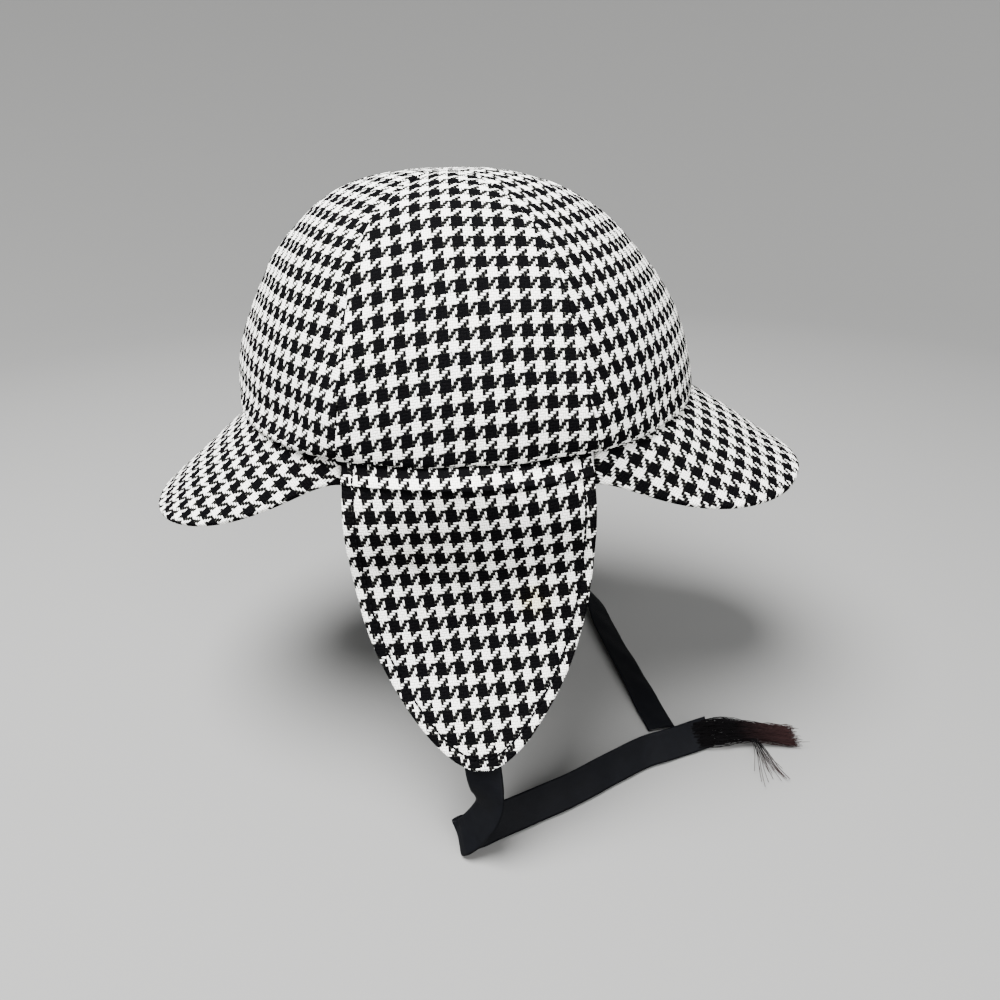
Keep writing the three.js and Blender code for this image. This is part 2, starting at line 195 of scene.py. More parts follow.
def soft_waves(across, along, seed, size, count=7):
    """Seeded smooth unevenness, mostly between -1 and 1, with waves of about the given size."""
    draw = random.Random(seed)
    total = np.zeros_like(across)
    for _ in range(count):
        heading = draw.uniform(0, math.tau)
        wavelength = size * draw.uniform(0.7, 1.6)
        phase = draw.uniform(0, math.tau)
        run = across * math.cos(heading) + along * math.sin(heading)
        total += np.sin(run * math.tau / wavelength + phase)
    return total / math.sqrt(count)


def grid_on(name, places, grain):
    """A grid primitive whose points take their places from a lattice, with its UV map in metres."""
    rows, columns = places.shape[:2]
    bpy.ops.object.select_all(action="DESELECT")
    bpy.ops.mesh.primitive_grid_add(x_subdivisions=columns - 1, y_subdivisions=rows - 1, size=2)
    piece = bpy.context.object
    piece.name = piece.data.name = name
    mesh = piece.data
    flat = np.empty(3 * len(mesh.vertices), np.float32)
    mesh.vertices.foreach_get("co", flat)
    flat = flat.reshape(-1, 3)
    column = np.rint((flat[:, 0] + 1) / 2 * (columns - 1)).astype(int)
    row = np.rint((flat[:, 1] + 1) / 2 * (rows - 1)).astype(int)
    mesh.vertices.foreach_set("co", places[row, column].astype(np.float32).ravel())
    corners = np.empty(len(mesh.loops), np.int32)
    mesh.loops.foreach_get("vertex_index", corners)
    mesh.uv_layers.active.name = GRAIN
    mesh.uv_layers.active.data.foreach_set("uv", grain[row, column][corners].astype(np.float32).ravel())
    mesh.update()
    return piece


def closed_cloth(name, face, behind, grain):
    """Two grids, the outer and the inner face, merged along the border that they share."""
    outer = grid_on(name, face, grain)
    inner = grid_on(name + "_inner", behind, grain)
    bpy.ops.object.mode_set(mode="EDIT")
    bpy.ops.mesh.select_all(action="SELECT")
    bpy.ops.mesh.flip_normals()
    bpy.ops.object.mode_set(mode="OBJECT")
    outer.select_set(True)
    bpy.context.view_layer.objects.active = outer
    bpy.ops.object.join()
    bpy.ops.object.mode_set(mode="EDIT")
    bpy.ops.mesh.select_all(action="SELECT")
    bpy.ops.mesh.remove_doubles(threshold=1e-6)
    bpy.ops.object.mode_set(mode="OBJECT")
    bpy.ops.object.shade_smooth()
    return outer


def edge_roll(distance, radius):
    """1 at the very edge of a cloth and 0 once the rounded edge has reached full thickness."""
    inside = np.clip(distance / radius, 0, 1)
    return 1 - np.sqrt(np.clip(1 - (1 - inside) ** 2, 0, 1))


def cloth_from(name, places, grain, distance, thickness, radius):
    """A closed cloth whose outer face lies on the lattice and whose edges are rolled."""
    out = lattice_normals(places)
    roll = edge_roll(distance, radius)[..., None] * thickness / 2
    return closed_cloth(name, places - out * roll, places - out * (thickness - roll), grain)


RUN = "thread_run"


def thread_tubes(name, lines, radii, sides):
    """Many thin closed tubes in one mesh: each line is a row of points, with a radius at each point."""
    count, steps = radii.shape
    along = unit(np.gradient(lines, axis=1))
    main = unit(lines[:, -1:] - lines[:, :1] + 1e-7)
    aside = np.where(np.abs(main[..., 2:]) > 0.8, [1.0, 0.0, 0.0], [0.0, 0.0, 1.0])
    first = unit(np.cross(along, aside))
    second = np.cross(along, first)
    turn = np.arange(sides) * math.tau / sides
    ring = first[:, :, None] * np.cos(turn)[:, None] + second[:, :, None] * np.sin(turn)[:, None]
    points = lines[:, :, None] + ring * radii[:, :, None, None]
    index = np.arange(count * steps * sides).reshape(count, steps, sides)
    turned = np.roll(index, -1, axis=2)
    walls = np.stack([index[:, :-1], turned[:, :-1], turned[:, 1:], index[:, 1:]], axis=-1).reshape(-1, 4)
    caps = np.concatenate([index[:, 0, ::-1], index[:, -1]])
    mesh = bpy.data.meshes.new(name)
    mesh.from_pydata(points.reshape(-1, 3).tolist(), [], walls.tolist() + caps.tolist())
    run = np.broadcast_to(np.linspace(0, 1, steps)[None, :, None], index.shape)
    mesh.attributes.new(RUN, "FLOAT", "POINT").data.foreach_set("value", run.astype(np.float32).ravel())
    piece = bpy.data.objects.new(name, mesh)
    bpy.context.scene.collection.objects.link(piece)
    bpy.ops.object.select_all(action="DESELECT")
    piece.select_set(True)
    bpy.context.view_layer.objects.active = piece
    bpy.ops.object.shade_smooth()
    return piece


def triangles(piece):
    """How many triangles a piece has."""
    return sum(len(face.vertices) - 2 for face in piece.data.polygons)


def belongs(piece, node=None):
    """The piece rides on the hat's one body, and may take the place of a CAD node."""
    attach(piece, "root")
    if node:
        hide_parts(node)


# %% [markdown]
# ## The ribbons
# Each flap ends in a tie of 15 mm ribbon, as a free cord that keeps its length. The route is a short list
# of points on the ribbon's middle, with the way across it at each point, which is what turns the ribbon over
# where it folds. The near one hangs from the flap's tip, folds back at the bottom and runs off leaning on
# its edge. The far one comes forward behind the hat and ends in a clean cut. A grid swept along the route
# is enough, since a ribbon is the flattest of cloths.

# %% Ribbon ties
RIBBON_WIDTH = 0.015
RIBBON_CLOTH = 0.00042
RIBBON_EDGE = 0.0004
RIBBON_CUP = 0.0004
RIBBON_CREASE = 0.00025
CREASE_SIZE = 0.016
RIBBON_ROWS = 420
RIBBON_COLUMNS = 17

# Each row: the middle's place, then the way across.
LEFT_ROUTE = [
    ((0.1134, 0.0012, -0.1110), (0.00, -1.00, 0.00)),
    ((0.1176, 0.0014, -0.1206), (0.00, -1.00, 0.00)),
    ((0.1194, 0.0019, -0.1270), (-0.10, -0.99, 0.00)),
    ((0.1207, 0.0026, -0.1340), (-0.34, -0.90, 0.00)),
    ((0.1210, 0.0029, -0.1395), (-0.55, -0.80, 0.00)),
    ((0.1208, 0.0018, -0.1460), (-0.75, -0.60, 0.00)),
    ((0.1202, -0.0012, -0.1525), (-0.80, -0.55, 0.20)),
    ((0.1192, -0.0054, -0.1594), (-0.66, -0.38, 0.64)),
    ((0.1180, -0.0089, -0.1638), (-0.72, -0.20, 0.67)),
    ((0.1156, -0.0106, -0.1664), (-0.75, -0.16, 0.64)),
    ((0.1134, -0.0082, -0.1668), (-0.74, -0.17, 0.65)),
    ((0.1126, -0.0034, -0.1667), (-0.70, -0.20, 0.68)),
    ((0.1096, 0.0046, -0.1662), (-0.62, -0.25, 0.74)),
    ((0.1037, 0.0181, -0.1660), (-0.57, -0.27, 0.77)),
    ((0.0926, 0.0426, -0.1660), (-0.57, -0.29, 0.77)),
    ((0.0843, 0.0575, -0.1660), (-0.56, -0.31, 0.77)),
    ((0.0749, 0.0747, -0.1662), (-0.58, -0.33, 0.74)),
    ((0.0708, 0.0835, -0.1664), (-0.60, -0.32, 0.73)),
    ((0.0682, 0.0920, -0.1665), (-0.63, -0.28, 0.72)),
    ((0.0653, 0.1007, -0.1666), (-0.64, -0.28, 0.71)),
    ((0.0622, 0.1093, -0.1667), (-0.66, -0.26, 0.70)),
    ((0.0598, 0.1160, -0.1668), (-0.67, -0.24, 0.70)),
]
RIGHT_ROUTE = [
    ((-0.1134, 0.0012, -0.1110), (0.00, -1.00, 0.00)),
    ((-0.1176, 0.0012, -0.1206), (0.00, -1.00, 0.00)),
    ((-0.1200, 0.0018, -0.1310), (-0.10, -1.00, 0.06)),
    ((-0.1204, 0.0044, -0.1430), (-0.30, -0.90, 0.30)),
    ((-0.1180, 0.0110, -0.1536), (-0.50, -0.60, 0.60)),
    ((-0.1120, 0.0230, -0.1610), (-0.50, -0.20, 0.85)),
    ((-0.1030, 0.0390, -0.1640), (-0.20, 0.00, 0.98)),
    ((-0.0910, 0.0560, -0.1644), (0.00, 0.00, 1.00)),
    ((-0.0760, 0.0695, -0.1646), (0.00, -0.30, 0.95)),
    ((-0.0610, 0.0755, -0.1662), (0.00, -0.70, 0.70)),
    ((-0.0470, 0.0768, -0.1682), (0.00, -0.92, 0.40)),
    ((-0.0330, 0.0786, -0.1688), (0.02, -0.94, 0.34)),
    ((-0.0180, 0.0810, -0.1692), (0.04, -0.95, 0.30)),
    ((-0.0020, 0.0840, -0.1696), (0.06, -0.96, 0.25)),
    ((0.0170, 0.0875, -0.1700), (0.10, -0.97, 0.18)),
    ((0.0350, 0.0906, -0.1706), (0.14, -0.98, 0.10)),
    ((0.0520, 0.0940, -0.1711), (0.20, -0.98, 0.04)),
]


def ribbon_frames(route):
    """The ribbon's middle line, the way along it, the way across it and the way out of its face."""
    middle = smooth_line([place for place, _ in route], RIBBON_ROWS)
    along = unit(np.gradient(middle, axis=0))
    across = smooth_line([way for _, way in route], RIBBON_ROWS)
    across = unit(across - along * np.sum(across * along, axis=1, keepdims=True))
    return middle, along, across, np.cross(along, across)


def line_length(points):
    """The length of a line of points, in metres."""
    return float(np.sum(np.linalg.norm(np.diff(points, axis=0), axis=1)))


def ribbon_tie(name, route, seed):
    """A ribbon swept along its route, slightly cupped and creased."""
    middle, along, across, face = ribbon_frames(route)
    side = np.linspace(-1, 1, RIBBON_COLUMNS)
    run = lengths_along(middle[:, None, :], 0)
    grain = np.stack(np.broadcast_arrays(side[None, :] * RIBBON_WIDTH / 2, run), axis=-1)
    creases = RIBBON_CREASE * soft_waves(grain[..., 0], grain[..., 1], seed, CREASE_SIZE)
    lift = RIBBON_CUP * (side[None, :] ** 2 - 0.5) + creases
    places = middle[:, None, :] + across[:, None, :] * grain[..., :1] + face[:, None, :] * lift[..., None]
    ends = np.minimum(run, run[-1] - run)
    distance = np.minimum(RIBBON_WIDTH / 2 - np.abs(grain[..., 0]), ends)
    piece = cloth_from(name, places, grain, distance, RIBBON_CLOTH, RIBBON_EDGE)
    return piece, middle


left_ribbon, left_line = ribbon_tie("left_ribbon", LEFT_ROUTE, 3)
right_ribbon, right_line = ribbon_tie("right_ribbon", RIGHT_ROUTE, 5)
belongs(left_ribbon, "left_ribbon_tie")
belongs(right_ribbon, "right_ribbon_tie")
print("ribbons:", round(line_length(left_line), 4), round(line_length(right_line), 4), "m")

# %% [markdown]
# ## The frayed end
# The near ribbon has come unwoven at its end: its cross threads are gone and its long threads hang together
# as a loose brush, black at the root and brown at the tips. Each thread is one thin tube on a smooth curve
# from a place across the ribbon to a place in the brush. A few have slipped out: some curl up in loops, and
# a small tuft leans forward onto the floor.

# %% Frayed end
MILLIMETRE = 0.001
FRAY_THREADS = 240
FRAY_STEPS = 15
FRAY_RADIUS = 0.00013
FRAY_OVERLAP = 0.010
FRAY_TIP = np.array([0.0046, 0.0420, -0.0016])
FRAY_DEPTH = 0.0026
FRAY_ARCH = 0.0026
FRAY_WAVE = 0.00035
FRAY_SIDES = 5
LOOSE_RADIUS = 0.00011
POINTED_END = 0.5
UP = np.array([0.0, 0.0, 1.0])
NEARER = np.array([1.0, 0.0, 0.0])
# Slipped threads, each as places past the ribbon's end in millimetres: along the brush, up, and towards
# the camera.
SLIPPED_THREADS = [
    [(8, 2, -1), (17, 5.5, -1), (23, 7, -1), (27, 5, -1), (24, 2.5, -1)],
    [(10, 2, -1), (17, 4.5, -1), (21, 6, -1), (20, 3, -1), (26, 2.5, -1)],
    [(2, 3, -1), (8, 5.5, -2), (15, 6.5, -2), (22, 6, -2), (26, 6.5, -1)],
    [(18, 3, -1), (26, 4.5, -1), (31, 4.2, -1), (36, 3, -1), (40, 2.5, -1)],
    [(20, 3, -1), (27, 5, -1), (30, 3, -1), (36, 1, -1), (40, 1, -1)],
    [(20, 2, -1), (24, 3.8, -1), (28, 4.8, -1), (31, 3.5, -1), (29, 2, -1)],
]
TUFT = [(17, 1, 2), (21, 1, 6), (23, -1, 11), (24, -3.5, 16), (25, -4.2, 21)]
TUFT_THREADS = 26
TUFT_SPREAD = (4.5, 1.0, 3.5)


def frayed_end(line, across_end, seed):
    """The brush of unwoven threads past a ribbon's end."""
    draw = np.random.default_rng(seed)
    end = line[-1]
    along = unit(line[-1] - line[-6])
    across = unit(np.asarray(across_end))
    face = np.cross(along, across)
    face = face if face[2] > 0 else -face
    side = np.linspace(-1, 1, FRAY_THREADS)[:, None]
    share = np.linspace(0, 1, FRAY_STEPS)[None, :]
    reach = 1 - 0.10 * draw.random((FRAY_THREADS, 1)) ** 2 + 0.03 * draw.normal(size=(FRAY_THREADS, 1))
    narrowing = 0.97 - 0.36 * smooth_rise((share - 0.1) / 0.5) + 0.1 * smooth_rise((share - 0.6) / 0.4)
    width = RIBBON_WIDTH / 2 * narrowing
    depth = 0.00025 + FRAY_DEPTH * smooth_rise(share / 0.5)
    spread = side * 0.85 + 0.15 * draw.normal(size=(FRAY_THREADS, 1)) * smooth_rise(share / 0.3)
    lift = draw.uniform(-0.4, 1.0, (FRAY_THREADS, 1))
    ripples = draw.uniform(30, 60, (FRAY_THREADS, 1))
    phase = draw.uniform(0, 6.3, (FRAY_THREADS, 1))
    wave = FRAY_WAVE * np.sin(share * reach * ripples + phase) * smooth_rise(share / 0.4)
    start = end - along * FRAY_OVERLAP * draw.random((FRAY_THREADS, 1))
    lines = start[:, None] + (end + FRAY_TIP - start)[:, None] * (share * reach)[..., None]
    lines = lines + across * (np.clip(spread, -1, 1) * width + wave)[..., None]
    lines = lines + face * (depth * lift + wave[:, ::-1])[..., None]
    lines = lines + UP * (FRAY_ARCH * np.sin(math.pi * share ** 0.8))[..., None]
    radii = FRAY_RADIUS * draw.uniform(0.8, 1.2, (FRAY_THREADS, 1)) * np.where(share > 0.98, POINTED_END, 1.0)
    ways = np.stack([unit(FRAY_TIP), UP, NEARER])
    slipped = [end + np.array(route) * MILLIMETRE @ ways for route in SLIPPED_THREADS]
    grow = np.linspace(0.15, 1, len(TUFT))[:, None] ** 1.5
    for _ in range(TUFT_THREADS):
        fan = draw.normal(size=3) * TUFT_SPREAD
        fan[1] = abs(fan[1])
        slipped.append(end + (np.array(TUFT) + fan * grow) * MILLIMETRE @ ways)
    loose = np.array([smooth_line(route, FRAY_STEPS) for route in slipped])
    lines = np.concatenate([lines, loose])
    radii = np.concatenate([radii, np.full((len(loose), FRAY_STEPS), LOOSE_RADIUS)])
    lines[..., 2] = np.maximum(lines[..., 2], floor_level + 2 * FRAY_RADIUS)
    return thread_tubes("left_fray", lines, radii, FRAY_SIDES)


fray = frayed_end(left_line, LEFT_ROUTE[-1][1], 11)
belongs(fray, "left_ribbon_fray")
print("frayed end:", triangles(fray), "triangles")

# %% [markdown]
# ## The crown
# Six panels meet along six seams. Each panel is one grid: its columns run from seam to seam and its rows
# from the turned-under edge up to the top. The crown's own form is a formula with a few named sizes, the
# same as the frame's. The cloth dips where two panels are sewn together, and swells a little between.

# %% Crown panels
CROWN_HALF_LENGTH = 0.0986
CROWN_HALF_WIDTH = 0.090
CROWN_HEIGHT = 0.0935
SIDE_ROUNDNESS = 3.33
TOP_ROUNDNESS = 0.8
SWELL = 0.141
FRONT_SWELL = 0.023
BACK_SWELL = 0.024
SQUARENESS = 0.3
APEX_FORWARD = 0.0051
PANELS = 6
PANEL_FLATNESS = [0.6, 0.5, 0.45, 0.45, 0.5, 0.6]
FLAT_LEVEL = 0.3
# Near the top the panels round off again: how much, from which level, and over how many levels.
TOP_EASING = 0.3
EASING_START = 0.55
EASING_RUN = 0.45
# How far the seams beside an ear panel lean towards its middle, in degrees, at five levels.
FRONT_SEAM_LEAN = [0, 4, 4.8, 1, 5]
BACK_SEAM_LEAN = [0, 3.5, 4.7, -0.4, 2.5]
FULLNESS = 0.0008
TURN_UNDER = 0.0034
CROWN_CLOTH = 0.0018
SEAM_ROLL = 0.0013
PANEL_COLUMNS = 73
PANEL_ROWS = 96
TOP_LEVEL = 0.9999
UNEVENNESS = 0.00035
UNEVEN_SIZE = 0.035
PUCKER = 0.00012
PUCKER_SIZE = 0.011
PUCKER_REACH = 0.006
CALM_WIDTH = 0.03
NARROW_WIDTH = 0.012


def rim_point(angle):
    """A point of the crown's oval rim. Angle 0 is the front and a quarter turn the wearer's left."""
    x = CROWN_HALF_WIDTH * np.sin(angle)
    y = -CROWN_HALF_LENGTH * np.cos(angle)
    return np.stack([x, y, 0 * angle], axis=-1)


def rim_outward(angle):
    """The level direction out of the rim."""
    x = np.sin(angle) / CROWN_HALF_WIDTH
    y = -np.cos(angle) / CROWN_HALF_LENGTH
    return unit(np.stack([x, y, 0 * angle], axis=-1))


def rim_angle(share):
    """The angle that lies this share of the way round the rim, measured along it from the front."""
    angles = np.linspace(0, math.tau, 1441)
    lengths = lengths_along(rim_point(angles), 0)
    return np.interp(share * lengths[-1], lengths, angles)


def signed_power(value, power):
    """A power that keeps the sign of its base."""
    return np.sign(value) * np.abs(value) ** power


def crown_point(angle, level):
    """A point of the crown: level 0 is the rim, 1 the top, and below 0 the edge turns under."""
    turn = np.clip(level, 0, 1) * math.pi / 2
    swelling = np.sin(2 * turn)
    rise = np.sin(turn) ** (2 / TOP_ROUNDNESS)
    forward = np.cos(angle)
    swell = SWELL + np.where(forward > 0, FRONT_SWELL, BACK_SWELL) * np.abs(forward)
    reach = np.maximum(np.cos(turn), 0) ** (2 / SIDE_ROUNDNESS) * (1 + swell * swelling)
    power = 2 / (2 + SQUARENESS * swelling)
    x = CROWN_HALF_WIDTH * reach * signed_power(np.sin(angle), power)
    y = -CROWN_HALF_LENGTH * reach * signed_power(np.cos(angle), power) - APEX_FORWARD * rise ** 2
    places = np.stack([x, y, CROWN_HEIGHT * rise], axis=-1)
    return places + rim_outward(angle) * (TURN_UNDER * np.minimum(level, 0))[..., None]


def value_at(values, level):
    """A smooth line through values at even steps of the level."""
    level = np.clip(level, 0, 1) * (len(values) - 1)
    here = np.minimum(level.astype(int), len(values) - 2)
    part = level - here
    values = np.asarray(values, float)
    before, after = np.maximum(here - 1, 0), np.minimum(here + 2, len(values) - 1)
    leave = (values[here + 1] - values[before]) / 2
    arrive = (values[after] - values[here]) / 2
    gap = values[here + 1] - values[here]
    return values[here] + leave * part + (3 * gap - 2 * leave - arrive) * part ** 2 + (
        leave + arrive - 2 * gap) * part ** 3


def seam_angle(seam, level):
    """Where a seam lies at each level. The panels over the ears are narrower above the rim."""
    sense, leans = [(0, FRONT_SEAM_LEAN), (1, FRONT_SEAM_LEAN), (-1, BACK_SEAM_LEAN)][seam % 3]
    if seam >= PANELS / 2:
        leans = FRONT_SEAM_LEAN if leans is BACK_SEAM_LEAN else BACK_SEAM_LEAN
    return rim_angle(seam / PANELS) + sense * np.radians(value_at(leans, level))


def panel_point(panel, share, level):
    """A point of one panel, from one seam (share 0) to the next (share 1), flatter between its seams."""
    first, last = seam_angle(panel, level), seam_angle(panel + 1, level)
    angle = first * (1 - share) + last * share
    chord = crown_point(first, level) * (1 - share)[..., None] + crown_point(last, level) * share[..., None]
    easing = 1 - TOP_EASING * smooth_rise((level - EASING_START) / EASING_RUN)
    flat = PANEL_FLATNESS[panel] * smooth_rise(level / FLAT_LEVEL) * easing
    fullness = FULLNESS * (1 - (2 * share - 1) ** 2) * np.sin(math.pi * np.maximum(level, 0))
    arc = crown_point(angle, level)
    return arc + (chord - arc) * flat[..., None] + rim_outward(angle) * fullness[..., None]


def even_levels(panel, rows):
    """Levels that are evenly spaced along the panel's middle."""
    fine = np.concatenate([np.linspace(-1, 0, 12)[:-1], 1 - (1 - np.linspace(0, 1, 3000)) ** 2])
    fine = np.minimum(fine, TOP_LEVEL)
    run = lengths_along(panel_point(panel, np.full_like(fine, 0.5), fine), 0)
    return np.interp(np.linspace(0, run[-1], rows), run, fine)


def gathered_steps(count):
    """Steps from 0 to 1 that lie closer together at both ends."""
    even = np.linspace(0, 1, count)
    return 0.85 * (0.5 - 0.5 * np.cos(math.pi * even)) + 0.15 * even


def laid(grain, rows=0.0, columns=0.0, wider=1.0, longer=1.0, shift=(0.0, 0.0)):
    """The cloth as it lies on a piece: its rows rise and its columns lean to the right, in degrees."""
    rows, columns = math.radians(rows), math.radians(columns)
    lie = np.array([[math.cos(rows) * wider, math.sin(columns) * longer],
                    [math.sin(rows) * wider, math.cos(columns) * longer]])
    return grain @ np.linalg.inv(lie).T + np.asarray(shift)


def crown_panel(name, panel, lie):
    """One panel of the crown as a closed cloth."""
    level, share = np.meshgrid(even_levels(panel, PANEL_ROWS), gathered_steps(PANEL_COLUMNS), indexing="ij")
    places = panel_point(panel, share, level)
    across = lengths_along(places, 1)
    width = across[:, -1:]
    across = across - width / 2
    along = lengths_along(places, 0) - TURN_UNDER
    border = np.minimum(along - along[:1], along[-1:] - along)
    distance = np.minimum(width / 2 - np.abs(across), border)
    out = lattice_normals(places)
    calm = np.clip(width / CALM_WIDTH, 0, 1)
    uneven = UNEVENNESS * soft_waves(across, along, 20 + panel, UNEVEN_SIZE)
    near_seam = np.exp(-distance / PUCKER_REACH)
    puckers = PUCKER * soft_waves(0 * across, along, 40 + panel, PUCKER_SIZE) * near_seam
    places = places + out * (calm * (uneven + puckers))[..., None]
    grain = laid(np.stack([across, along], axis=-1), **lie)
    radius = SEAM_ROLL * np.clip(width / NARROW_WIDTH, 0.05, 1)
    return cloth_from(name, places, grain, distance, CROWN_CLOTH, radius)


PANEL_NAMES = ["front_left", "left", "back_left", "back_right", "right", "front_right"]
PANEL_LIES = [
    {"rows": 0, "columns": 0, "shift": (-0.0002, -0.0028)},
    {"rows": 4.5, "columns": 0.8, "longer": 1.02, "shift": (-0.0030, 0.0006)},
    {"rows": 0, "columns": 0, "shift": (0.0022, 0.0051)},
    {"rows": 0, "columns": 0, "shift": (0, 0.004)},
    {"rows": 2, "columns": 0, "shift": (0.002, 0.001)},
    {"rows": 0, "columns": 0, "shift": (0.004, 0)},
]
cloth_pieces = []
for panel, panel_name in enumerate(PANEL_NAMES):
    piece = crown_panel("crown_" + panel_name, panel, PANEL_LIES[panel])
    belongs(piece, "crown_panel_" + panel_name)
    cloth_pieces.append(piece)
print("crown panels:", len(cloth_pieces), "pieces,", sum(map(triangles, cloth_pieces)), "triangles")

# %% [markdown]
# ## The peaks
# A peak is two layers of wool sewn together and turned, with a stiff sheet between them that nobody sees.
# It is cut flat and bent down at the sides, so its weave runs straight along its own middle line and turns
# away towards the ends. The grid follows the rim from seam to seam. Its grain is worked out by unrolling:
# where the peak slopes steeply it unrolls to an almost straight strip, and where it lies flat it keeps its
# curve.

# %% Front and back peak
ROOT_DROP = 0.0005
ROOT_INSET = 0.0034
PEAK_CLOTH = 0.0030
PEAK_BEND = 0.012
PEAK_END_GAP = math.radians(0.35)
PEAK_EDGE = 0.0017
PEAK_COLUMNS = 121
PEAK_ROWS = 64
PEAK_UNEVENNESS = 0.0003
PEAK_UNEVEN_SIZE = 0.04
FRONT_PEAK = {"reach": 0.0710, "end_reach": 0.0108, "taper": 1.63, "root": 58, "middle": 40, "end": 85}
BACK_PEAK = {"reach": 0.0725, "end_reach": 0.0154, "taper": 1.49, "root": 18, "middle": 33, "end": 92}
FRONT_PEAK_LIE = {"rows": 10, "columns": 4, "longer": 1.16, "shift": (-0.0032, 0.0001)}
BACK_PEAK_LIE = {"rows": -6, "columns": -7, "wider": 1.08, "longer": 1.16, "shift": (0.002, 0.001)}
SECTION_STEPS = 48


def slope_run(length, root_slope, slope):
    """How far out and how far down a peak's section runs over a length from its root."""
    out = np.zeros_like(length)
    down = np.zeros_like(length)
    for step in range(SECTION_STEPS):
        along = length * (step + 0.5) / SECTION_STEPS
        angle = np.radians(root_slope + (slope - root_slope) * smooth_rise(along / PEAK_BEND))
        out += np.cos(angle) * length / SECTION_STEPS
        down += np.sin(angle) * length / SECTION_STEPS
    return out, down


def peak_lattice(sizes, middle_angle):
    """The peak's upper face and its unrolled grain, with the distance from its edge."""
    side = np.linspace(-1, 1, PEAK_COLUMNS)
    side = 0.75 * side + 0.25 * np.sin(side * math.pi / 2)
    rows = np.concatenate([[-1.0, -0.5], np.linspace(0, 1, PEAK_ROWS) ** 0.9])
    row, side = np.meshgrid(rows, side, indexing="ij")
    angle = middle_angle + side * (rim_angle(1 / PANELS) - PEAK_END_GAP)
    depth = np.maximum(np.cos(math.pi / 2 * np.minimum(np.abs(side), 1)), 0) ** sizes["taper"]
    reach = sizes["end_reach"] + (sizes["reach"] - sizes["end_reach"]) * depth
    slope = sizes["middle"] + (sizes["end"] - sizes["middle"]) * side ** 2
    out, down = slope_run(np.maximum(row, 0) * reach, sizes["root"], slope)
    sideways = np.stack([np.sign(np.sin(angle)), 0 * angle, 0 * angle], axis=-1)
    blend = (side ** 4)[..., None]
    outward = unit(rim_outward(angle) * (1 - blend) + sideways * blend)
    places = rim_point(angle) + outward * (out + ROOT_INSET * np.minimum(row, 0))[..., None]
    places[..., 2] = -ROOT_DROP - down
    run = lengths_along(places, 0)
    length = run - run[2]
    heading = np.unwrap(np.arctan2(outward[2, :, 1], outward[2, :, 0]))
    turning = np.gradient(heading) * np.cos(np.radians(slope[2]))
    bearing = np.cumsum(turning)
    bearing = bearing - bearing[len(bearing) // 2]
    steps = np.gradient(lengths_along(places[2], 0))
    along_rim = np.stack([np.cumsum(steps * np.cos(bearing)), np.cumsum(steps * np.sin(bearing))], axis=-1)
    along_rim = along_rim - along_rim[len(bearing) // 2]
    inward = np.stack([-np.sin(bearing), np.cos(bearing)], axis=-1)
    grain = along_rim[None] - inward[None] * length[..., None]
    ends = lengths_along(places, 1)
    ends = np.minimum(ends, ends[:, -1:] - ends)
    distance = np.minimum(np.minimum(run[-1:] - run, run), ends)
    return places, grain, distance


def peak(name, sizes, middle_angle, lie, seed):
    """One peak as a closed cloth with a turned edge."""
    places, grain, distance = peak_lattice(sizes, middle_angle)
    uneven = PEAK_UNEVENNESS * soft_waves(grain[..., 0], grain[..., 1], seed, PEAK_UNEVEN_SIZE)
    places = places - lattice_normals(places) * uneven[..., None]
    places, grain, distance = places[::-1], grain[::-1], distance[::-1]
    return cloth_from(name, places, laid(grain, **lie), distance, PEAK_CLOTH, PEAK_EDGE)


front_peak = peak("front_peak_cloth", FRONT_PEAK, 0.0, FRONT_PEAK_LIE, 61)
back_peak = peak("back_peak_cloth", BACK_PEAK, math.pi, BACK_PEAK_LIE, 62)
belongs(front_peak, "front_peak")
belongs(back_peak, "back_peak")
cloth_pieces += [front_peak, back_peak]
print("peaks:", triangles(front_peak), triangles(back_peak), "triangles")

# %% [markdown]
# ## The ear flaps
# An ear flap is a tongue of doubled wool. Its root is sewn under the crown's edge, it comes out almost
# level for a few millimetres, turns down over the ear and flares a little towards its tip. A short table of
# level sections gives that shape. A row of black stitches runs round it about 5 mm inside the edge and pulls
# a shallow groove into the cloth, so the groove is pressed into the grid before the cloth is closed.

# %% Ear flaps
FLAP_CLOTH = 0.0024
FLAP_EDGE = 0.0014
FLAP_SWING = 0.0014
STITCH_INSET = 0.0047
STITCH_GROOVE = 0.0004
GROOVE_WIDTH = 0.0010
FLAP_UNEVENNESS = 0.0004
FLAP_UNEVEN_SIZE = 0.045
FLAP_COLUMNS = 81
FLAP_ROWS = 120
LEFT_FLAP_LIE = {"rows": 2.6, "columns": -6, "longer": 1.12, "shift": (-0.0002, 0.0029)}
RIGHT_FLAP_LIE = {"rows": -2, "columns": 3, "longer": 1.12, "shift": (0.003, 0.002)}
LEFT_FLAP_SEED = 71
RIGHT_FLAP_SEED = 72
# Each row: how far below the rim, how far out from the crown's side, half the width, kept roundness.
FLAP_SECTIONS = [
    (0.0005, -0.0034, 0.0464, 1.00),
    (0.0008, 0.0024, 0.0472, 1.00),
    (0.0028, 0.0054, 0.0474, 1.00),
    (0.0084, 0.0075, 0.0476, 0.80),
    (0.0210, 0.0076, 0.0480, 0.44),
    (0.0360, 0.0056, 0.0477, 0.20),
    (0.0500, 0.0048, 0.0465, 0.12),
    (0.0640, 0.0074, 0.0440, 0.10),
    (0.0780, 0.0122, 0.0397, 0.12),
    (0.0910, 0.0176, 0.0333, 0.15),
    (0.1030, 0.0230, 0.0254, 0.18),
    (0.1125, 0.0276, 0.0172, 0.20),
    (0.1180, 0.0302, 0.0104, 0.20),
    (0.1210, 0.0316, 0.0040, 0.20),
]


